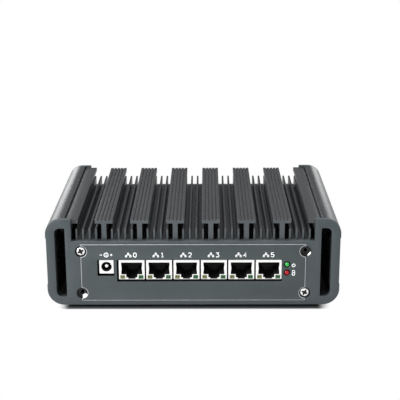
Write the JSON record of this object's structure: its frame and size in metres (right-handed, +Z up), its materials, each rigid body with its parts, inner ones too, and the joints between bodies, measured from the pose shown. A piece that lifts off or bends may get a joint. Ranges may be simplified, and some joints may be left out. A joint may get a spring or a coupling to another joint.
{
  "type": "firewall appliance",
  "caption": "Fanless network firewall: finned aluminium body with side air ducts, end bezels, a port plate with network and power sockets, and a rear plate with button and ports.",
  "frame": {"origin": "on the table, under the middle of the body, midway between the lamp noses and the button's face", "axes": "+X across the front to the viewer's right, +Y from the front plate to the rear plate, +Z up"},
  "size_m": [0.1824, 0.127, 0.0588],
  "materials": {
    "dark_anodised": "satin dark grey anodised extrusion",
    "dark_plate": "fine-blasted dark grey anodised plate",
    "cover_sheet": "black powder-coated sheet",
    "foot_rubber": "matt black",
    "bright_screw": "nickel-plated",
    "black_screw": "black oxide",
    "plated_shield": "tin-plated sheet",
    "black_moulding": "black moulding",
    "gilt_contact": "gold-plated",
    "yellow_window": "translucent amber",
    "green_window": "translucent green",
    "green_lamp": "clear green lamp",
    "red_lamp": "clear red lamp",
    "usb_tongue": "blue moulding",
    "button_finish": "turned steel",
    "board": "green solder mask",
    "brass_post": "turned brass",
    "chip": "black package",
    "pad": "soft thermal pad",
    "spreader": "milled",
    "cell": "steel can",
    "choke": "ferrite",
    "capacitor": "sleeved can"
  },
  "bodies": {
    "chassis": {"heat_sink": "dark_anodised", "left_side_profile": "dark_anodised", "right_side_profile": "dark_anodised", "front_bezel": "dark_anodised", "rear_bezel": "dark_anodised", "front_plate": "dark_plate", "rear_plate": "dark_plate", "bottom_cover": "cover_sheet", "rubber_feet": "foot_rubber", "front_plate_screws": "bright_screw", "rear_plate_screws": "bright_screw", "cover_screws": "black_screw", "heat_sink_screws": "black_screw", "socket_contacts": "gilt_contact", "socket_lamps_yellow": "yellow_window", "socket_lamps_green": "green_window", "power_socket_shield": "plated_shield", "power_socket_body": "black_moulding", "power_socket_pin": "gilt_contact", "lamp_holder": "black_moulding", "power_lamp": "green_lamp", "drive_lamp": "red_lamp", "console_shield": "plated_shield", "console_insert": "black_moulding", "usb_shells": "plated_shield", "usb_tongues": "usb_tongue", "video_shell": "plated_shield", "video_tongue": "black_moulding", "antenna_plugs": "foot_rubber", "button_switch": "black_moulding", "mainboard": "board", "standoffs": "brass_post", "board_screws": "bright_screw", "processor": "chip", "thermal_pad": "pad", "heat_spreader": "spreader", "memory_socket": "black_moulding", "memory_module": "board", "drive_socket": "black_moulding", "drive_module": "board", "coin_cell": "cell", "cell_holder": "black_moulding", "lan_controllers": "chip", "power_chokes": "choke", "capacitors": "capacitor", "lan_shield_0": "plated_shield", "lan_insert_0": "black_moulding", "lan_shield_1": "plated_shield", "lan_insert_1": "black_moulding", "lan_shield_2": "plated_shield", "lan_insert_2": "black_moulding", "lan_shield_3": "plated_shield", "lan_insert_3": "black_moulding", "lan_shield_4": "plated_shield", "lan_insert_4": "black_moulding", "lan_shield_5": "plated_shield", "lan_insert_5": "black_moulding"},
    "power_button": {"power_button": "button_finish"},
    "memory_latch_left": {"memory_latch_left": "black_moulding"},
    "memory_latch_right": {"memory_latch_right": "black_moulding"}
  },
  "joints": [
    {"name": "power_button_push", "type": "slide", "parent": "chassis", "child": "power_button", "axis": [0, -1, 0], "range_m": [0, 0.0008], "stiffness_N_per_m": 1200, "springref_m": -0.001},
    {"name": "memory_latch_left_swing", "type": "hinge", "parent": "chassis", "child": "memory_latch_left", "pos_m": [-0.0634, 0.025, 0.0268], "axis": [0, 0, -1], "range_deg": [0, 12], "stiffness_Nm_per_rad": 0.05, "springref_deg": -2.86},
    {"name": "memory_latch_right_swing", "type": "hinge", "parent": "chassis", "child": "memory_latch_right", "pos_m": [0.0082, 0.025, 0.0268], "axis": [0, 0, 1], "range_deg": [0, 12], "stiffness_Nm_per_rad": 0.05, "springref_deg": -2.86}
  ]
}
